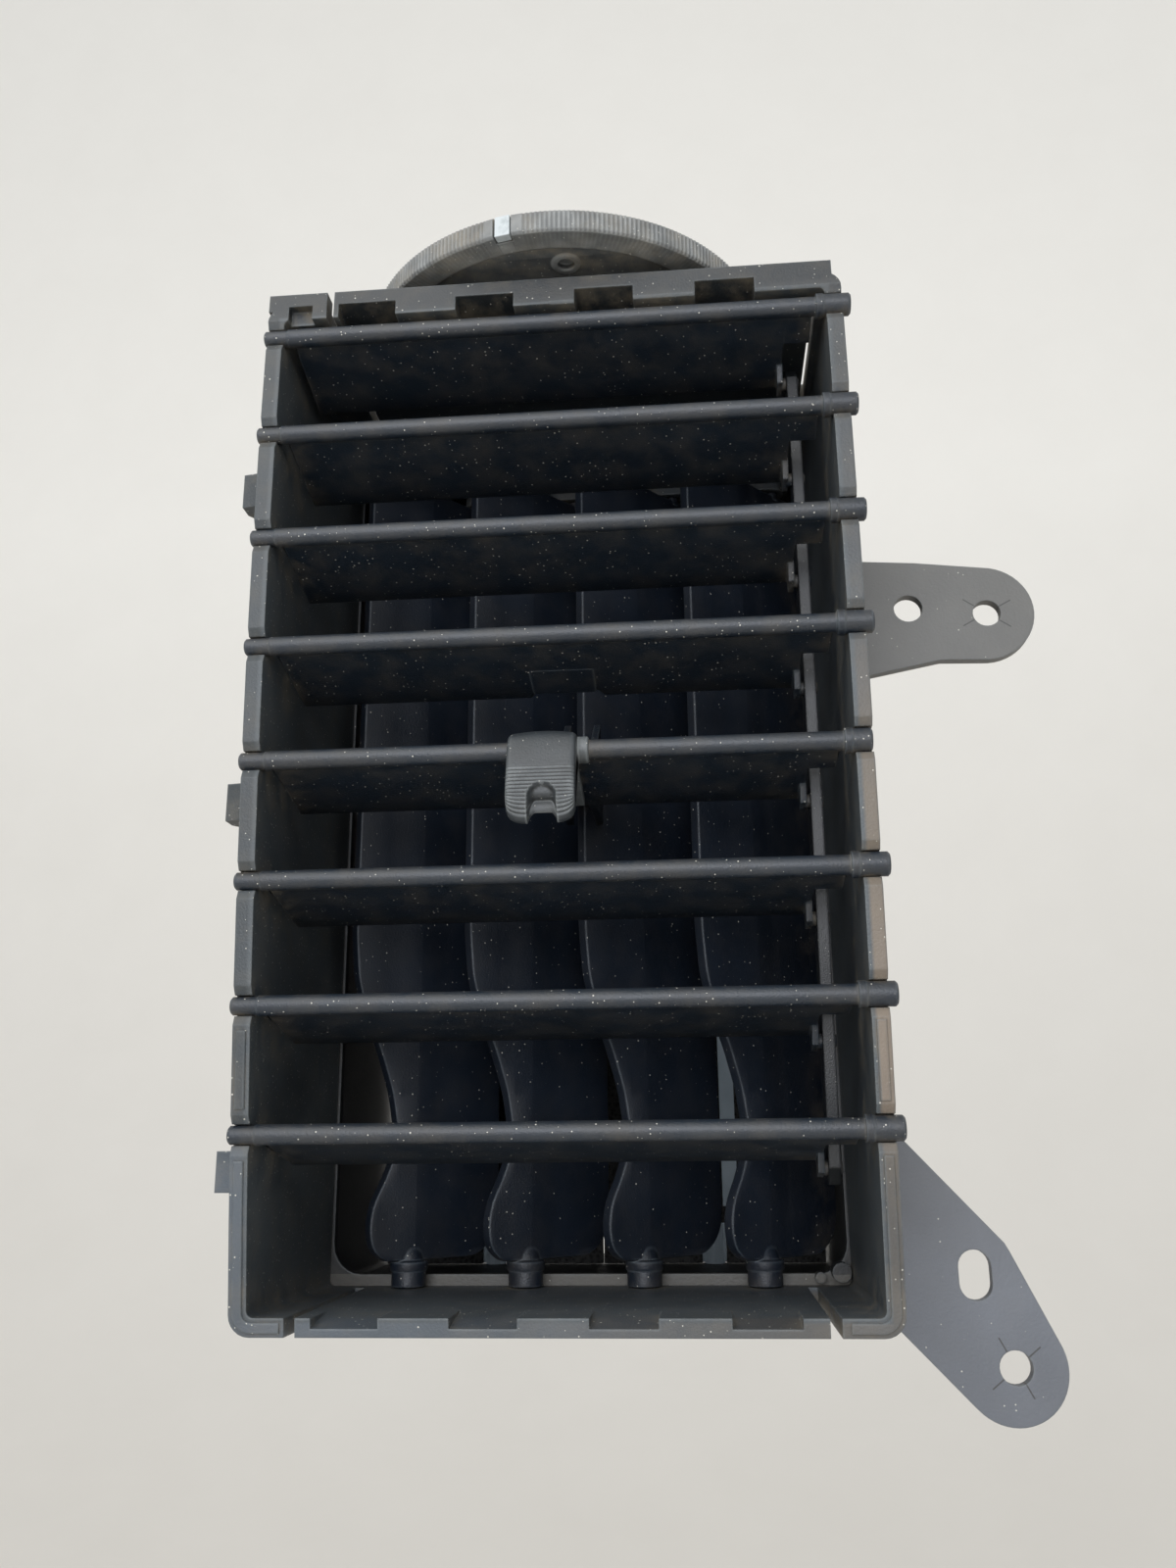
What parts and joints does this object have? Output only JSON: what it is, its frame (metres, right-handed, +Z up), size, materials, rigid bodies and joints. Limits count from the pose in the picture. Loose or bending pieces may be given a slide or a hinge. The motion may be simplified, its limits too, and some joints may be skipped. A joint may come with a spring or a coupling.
{
  "type": "car dashboard air vent",
  "caption": "Upright dashboard air vent insert with tilting louvres, turning vanes behind them, a sliding finger tab, a shut-off thumbwheel and screw ears.",
  "frame": {"origin": "on the back face of the upper screw ear, midway between its two holes, where the vent is screwed to the dashboard", "axes": "+X to the right seen from the cabin, +Y into the vent along the air duct, +Z up along the tall side"},
  "size_m": [0.1365, 0.1245, 0.1916],
  "materials": {
    "black_plastic": "fine-grained, moulded",
    "louvre_plastic": "satin, moulded",
    "tab_plastic": "satin, ribbed",
    "wheel_plastic": "satin, knurled rim",
    "marker_paint": "matt white inlay",
    "foam": "open-cell foam",
    "zinc_steel": "zinc plated"
  },
  "bodies": {
    "housing": {"front_shroud": "black_plastic", "rear_housing": "black_plastic", "duct_seal": "foam", "wheel_screw": "zinc_steel"},
    "louvre_1": {"louvre_1": "louvre_plastic"},
    "louvre_2": {"louvre_2": "louvre_plastic"},
    "louvre_3": {"louvre_3": "louvre_plastic"},
    "louvre_4": {"louvre_4": "louvre_plastic"},
    "louvre_5": {"louvre_5": "louvre_plastic"},
    "louvre_6": {"louvre_6": "louvre_plastic"},
    "louvre_7": {"louvre_7": "louvre_plastic"},
    "louvre_8": {"louvre_8": "louvre_plastic"},
    "louvre_link": {"louvre_link": "black_plastic"},
    "finger_tab": {"finger_tab": "tab_plastic", "tab_fork": "black_plastic"},
    "vane_1": {"vane_1": "louvre_plastic"},
    "vane_2": {"vane_2": "louvre_plastic"},
    "vane_3": {"vane_3": "louvre_plastic"},
    "vane_4": {"vane_4": "louvre_plastic"},
    "vane_link": {"vane_link": "black_plastic"},
    "thumbwheel": {"thumbwheel": "wheel_plastic", "wheel_marker": "marker_paint"},
    "damper_left": {"damper_leaf_left": "black_plastic", "damper_seal_left": "foam", "damper_crank_left": "black_plastic"},
    "damper_right": {"damper_leaf_right": "black_plastic", "damper_seal_right": "foam", "damper_crank_right": "black_plastic"},
    "coupler_plate": {"coupler_plate": "black_plastic"}
  },
  "joints": [
    {"name": "louvre_5_tilt", "type": "hinge", "parent": "housing", "child": "louvre_5", "pos_m": [-0.0702, -0.05231, -0.0409], "axis": [1, 0, 0], "range_deg": [-20, 13]},
    {"name": "louvre_1_tilt", "type": "hinge", "parent": "housing", "child": "louvre_1", "pos_m": [-0.0702, -0.05359, 0.0319], "axis": [1, 0, 0], "range_deg": [-20, 13]},
    {"name": "louvre_2_tilt", "type": "hinge", "parent": "housing", "child": "louvre_2", "pos_m": [-0.0702, -0.05389, 0.0137], "axis": [1, 0, 0], "range_deg": [-20, 13]},
    {"name": "louvre_3_tilt", "type": "hinge", "parent": "housing", "child": "louvre_3", "pos_m": [-0.0702, -0.05378, -0.0045], "axis": [1, 0, 0], "range_deg": [-20, 13]},
    {"name": "louvre_4_tilt", "type": "hinge", "parent": "housing", "child": "louvre_4", "pos_m": [-0.0702, -0.05325, -0.0227], "axis": [1, 0, 0], "range_deg": [-20, 13]},
    {"name": "louvre_6_tilt", "type": "hinge", "parent": "housing", "child": "louvre_6", "pos_m": [-0.0702, -0.05096, -0.0591], "axis": [1, 0, 0], "range_deg": [-20, 13]},
    {"name": "louvre_7_tilt", "type": "hinge", "parent": "housing", "child": "louvre_7", "pos_m": [-0.0702, -0.04919, -0.0773], "axis": [1, 0, 0], "range_deg": [-20, 13]},
    {"name": "louvre_8_tilt", "type": "hinge", "parent": "housing", "child": "louvre_8", "pos_m": [-0.0702, -0.04701, -0.0955], "axis": [1, 0, 0], "range_deg": [-20, 13]},
    {"name": "louvre_link_swing", "type": "hinge", "parent": "louvre_5", "child": "louvre_link", "pos_m": [-0.0307, -0.03892, -0.0463], "axis": [1, 0, 0], "range_deg": [-13, 20]},
    {"name": "vane_3_turn", "type": "hinge", "parent": "housing", "child": "vane_3", "pos_m": [-0.0602, -0.0055, -0.0455], "axis": [0, 0, 1], "range_deg": [0, 90]},
    {"name": "vane_1_turn", "type": "hinge", "parent": "housing", "child": "vane_1", "pos_m": [-0.1002, -0.0055, -0.0455], "axis": [0, 0, 1], "range_deg": [0, 90]},
    {"name": "vane_2_turn", "type": "hinge", "parent": "housing", "child": "vane_2", "pos_m": [-0.0802, -0.0055, -0.0455], "axis": [0, 0, 1], "range_deg": [0, 90]},
    {"name": "vane_4_turn", "type": "hinge", "parent": "housing", "child": "vane_4", "pos_m": [-0.0402, -0.0055, -0.0455], "axis": [0, 0, 1], "range_deg": [0, 90]},
    {"name": "vane_link_swing", "type": "hinge", "parent": "vane_3", "child": "vane_link", "pos_m": [-0.05171, 0.00298, 0.03], "axis": [0, 0, 1], "range_deg": [-90, 0]},
    {"name": "finger_tab_slide", "type": "slide", "parent": "louvre_5", "child": "finger_tab", "axis": [1, 0, 0], "range_m": [0, 0.01707]},
    {"name": "thumbwheel_turn", "type": "hinge", "parent": "housing", "child": "thumbwheel", "pos_m": [-0.0702, -0.026, 0.0455], "axis": [0, 0, 1], "range_deg": [0, 90]},
    {"name": "damper_left_turn", "type": "hinge", "parent": "housing", "child": "damper_left", "pos_m": [-0.0922, 0.039, -0.0455], "axis": [0, 0, 1], "range_deg": [0, 90]},
    {"name": "damper_right_turn", "type": "hinge", "parent": "housing", "child": "damper_right", "pos_m": [-0.0482, 0.039, -0.0455], "axis": [0, 0, 1], "range_deg": [0, 90]},
    {"name": "coupler_swing", "type": "hinge", "parent": "thumbwheel", "child": "coupler_plate", "pos_m": [-0.07727, -0.01893, 0.0422], "axis": [0, 0, 1], "range_deg": [-90, 0]}
  ],
  "couplings": [
    {"joint": "louvre_1_tilt", "follows": "louvre_5_tilt", "ratio": 1},
    {"joint": "louvre_2_tilt", "follows": "louvre_5_tilt", "ratio": 1},
    {"joint": "louvre_3_tilt", "follows": "louvre_5_tilt", "ratio": 1},
    {"joint": "louvre_4_tilt", "follows": "louvre_5_tilt", "ratio": 1},
    {"joint": "louvre_6_tilt", "follows": "louvre_5_tilt", "ratio": 1},
    {"joint": "louvre_7_tilt", "follows": "louvre_5_tilt", "ratio": 1},
    {"joint": "louvre_8_tilt", "follows": "louvre_5_tilt", "ratio": 1},
    {"joint": "louvre_link_swing", "follows": "louvre_5_tilt", "ratio": -1},
    {"joint": "vane_1_turn", "follows": "vane_3_turn", "ratio": 1},
    {"joint": "vane_2_turn", "follows": "vane_3_turn", "ratio": 1},
    {"joint": "vane_4_turn", "follows": "vane_3_turn", "ratio": 1},
    {"joint": "vane_link_swing", "follows": "vane_3_turn", "ratio": -1},
    {"joint": "finger_tab_slide", "follows": "vane_3_turn", "m_per_rad": 0.010804},
    {"joint": "damper_left_turn", "follows": "thumbwheel_turn", "ratio": 1},
    {"joint": "damper_right_turn", "follows": "thumbwheel_turn", "ratio": 1},
    {"joint": "coupler_swing", "follows": "thumbwheel_turn", "ratio": -1}
  ]
}
